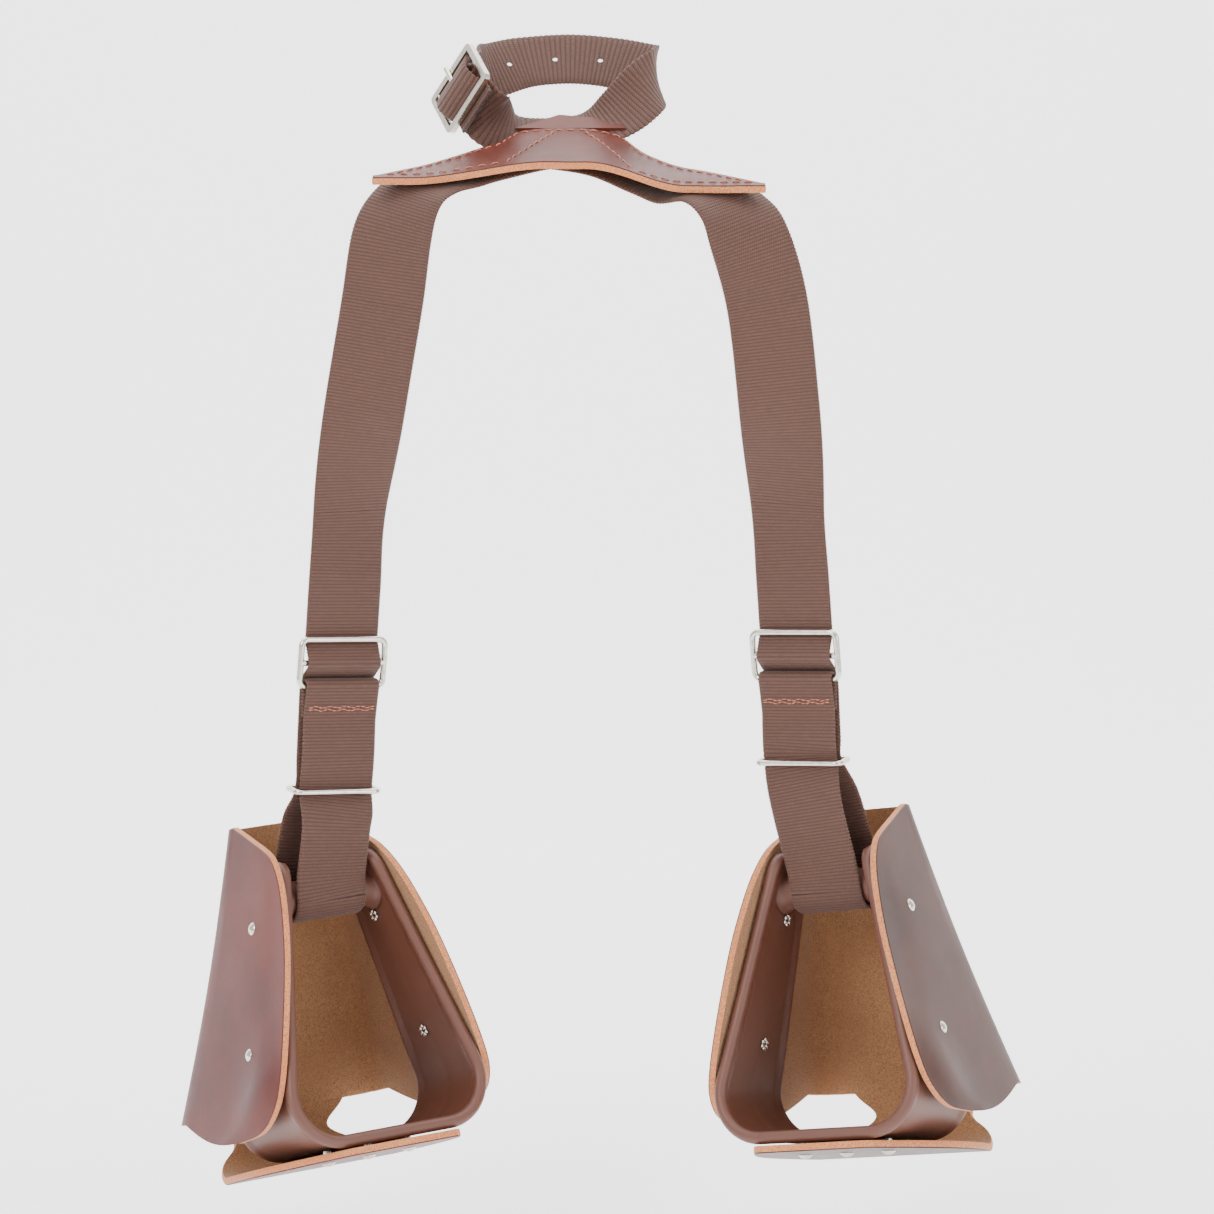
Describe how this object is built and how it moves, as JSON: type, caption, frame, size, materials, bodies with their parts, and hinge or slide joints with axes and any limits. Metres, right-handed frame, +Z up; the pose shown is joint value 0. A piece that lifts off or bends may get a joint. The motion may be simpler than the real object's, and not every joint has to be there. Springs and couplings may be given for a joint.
{
  "type": "hooded buddy stirrups",
  "caption": "Child's hooded stirrup set that hangs from a western saddle horn: a leather-covered yoke, adjustable webbing straps and leather-hooded moulded stirrups.",
  "frame": {"origin": "middle of the loop that goes round the saddle horn", "axes": "+X to the right-hand stirrup as seen from the open fronts of the hoods, -Y out of the open fronts, +Z up, as it hangs"},
  "size_m": [0.4687, 0.2369, 0.6309],
  "materials": {
    "brown_webbing": "ribbed nylon webbing",
    "yoke_leather": "satin reddish-brown, raw tan edge",
    "burgundy_leather": "satin burgundy face, tan suede inside",
    "brown_leather": "satin dark brown face, tan suede inside",
    "brown_moulding": "satin moulded plastic",
    "nickel_wire": "nickel plated",
    "rivet_nickel": "nickel plated tubular rivet"
  },
  "bodies": {
    "yoke": {"yoke_leather": "yoke_leather", "yoke_tab": "yoke_leather", "horn_strap": "brown_webbing", "horn_strap_base": "brown_webbing", "horn_buckle_frame": "nickel_wire", "left_yoke_webbing": "brown_webbing", "right_yoke_webbing": "brown_webbing"},
    "buckle_prong": {"horn_buckle_prong": "nickel_wire"},
    "left_bend": {"left_strap_bend": "brown_webbing"},
    "left_strap": {"left_strap": "brown_webbing", "left_strap_lower": "brown_webbing"},
    "left_slide": {"left_strap_roll": "brown_webbing", "left_sewn_end": "brown_webbing", "left_slide_frame": "nickel_wire"},
    "left_loop": {"left_loop_front": "brown_webbing", "left_loop_back": "brown_webbing", "left_loop_wrap": "brown_webbing"},
    "left_keeper": {"left_keeper": "nickel_wire"},
    "left_stirrup": {"left_stirrup_frame": "brown_moulding", "left_hood": "burgundy_leather", "left_side_rivets": "rivet_nickel", "left_tread_rivets": "rivet_nickel"},
    "right_bend": {"right_strap_bend": "brown_webbing"},
    "right_strap": {"right_strap": "brown_webbing", "right_strap_lower": "brown_webbing"},
    "right_slide": {"right_strap_roll": "brown_webbing", "right_sewn_end": "brown_webbing", "right_slide_frame": "nickel_wire"},
    "right_loop": {"right_loop_front": "brown_webbing", "right_loop_back": "brown_webbing", "right_loop_wrap": "brown_webbing"},
    "right_keeper": {"right_keeper": "nickel_wire"},
    "right_stirrup": {"right_stirrup_frame": "brown_moulding", "right_hood": "brown_leather", "right_side_rivets": "rivet_nickel", "right_tread_rivets": "rivet_nickel"}
  },
  "joints": [
    {"name": "buckle_prong_turn", "type": "hinge", "parent": "yoke", "child": "buckle_prong", "pos_m": [-0.06, -0.024, -0.009], "axis": [-0.5301, 0.4113, -0.7415], "range_deg": [-30, 0]},
    {"name": "left_splay", "type": "hinge", "parent": "yoke", "child": "left_bend", "pos_m": [-0.086, -0.086, -0.061], "axis": [0, 1, 0], "range_deg": [-3, 3]},
    {"name": "left_swing", "type": "hinge", "parent": "left_bend", "child": "left_strap", "pos_m": [-0.101, -0.096, -0.118], "axis": [0.9929, 0, -0.1191], "range_deg": [-25, 25]},
    {"name": "left_adjust", "type": "slide", "parent": "left_strap", "child": "left_slide", "axis": [0.077, 0.0409, 0.9962], "range_m": [-0.03, 0.05], "deforming": ["left_strap_lower"]},
    {"name": "left_loop_length", "type": "slide", "parent": "left_slide", "child": "left_loop", "axis": [0.077, 0.0409, 0.9962], "range_m": [-0.026, 0.016], "deforming": ["left_loop_front", "left_loop_back"]},
    {"name": "left_keeper_slide", "type": "slide", "parent": "left_loop", "child": "left_keeper", "axis": [0.077, 0.0409, 0.9962], "range_m": [0, 0.012]},
    {"name": "left_stirrup_swing", "type": "hinge", "parent": "left_loop", "child": "left_stirrup", "pos_m": [-0.138, -0.088, -0.449], "axis": [0.829, 0.5592, 0], "range_deg": [-20, 30]},
    {"name": "right_splay", "type": "hinge", "parent": "yoke", "child": "right_bend", "pos_m": [0.086, -0.086, -0.0645], "axis": [0, -1, 0], "range_deg": [-3, 3]},
    {"name": "right_swing", "type": "hinge", "parent": "right_bend", "child": "right_strap", "pos_m": [0.107, -0.096, -0.118], "axis": [0.9929, 0, 0.1191], "range_deg": [-25, 25]},
    {"name": "right_adjust", "type": "slide", "parent": "right_strap", "child": "right_slide", "axis": [-0.0783, 0.0382, 0.9962], "range_m": [-0.03, 0.05], "deforming": ["right_strap_lower"]},
    {"name": "right_loop_length", "type": "slide", "parent": "right_slide", "child": "right_loop", "axis": [-0.0783, 0.0382, 0.9962], "range_m": [-0.026, 0.016], "deforming": ["right_loop_front", "right_loop_back"]},
    {"name": "right_keeper_slide", "type": "slide", "parent": "right_loop", "child": "right_keeper", "axis": [-0.0783, 0.0382, 0.9962], "range_m": [0, 0.012]},
    {"name": "right_stirrup_swing", "type": "hinge", "parent": "right_loop", "child": "right_stirrup", "pos_m": [0.147, -0.088, -0.445], "axis": [0.8586, -0.4759, 0.1908], "range_deg": [-20, 30]}
  ],
  "couplings": [
    {"joint": "left_loop_length", "follows": "left_adjust", "ratio": -0.5},
    {"joint": "right_loop_length", "follows": "right_adjust", "ratio": -0.5}
  ]
}
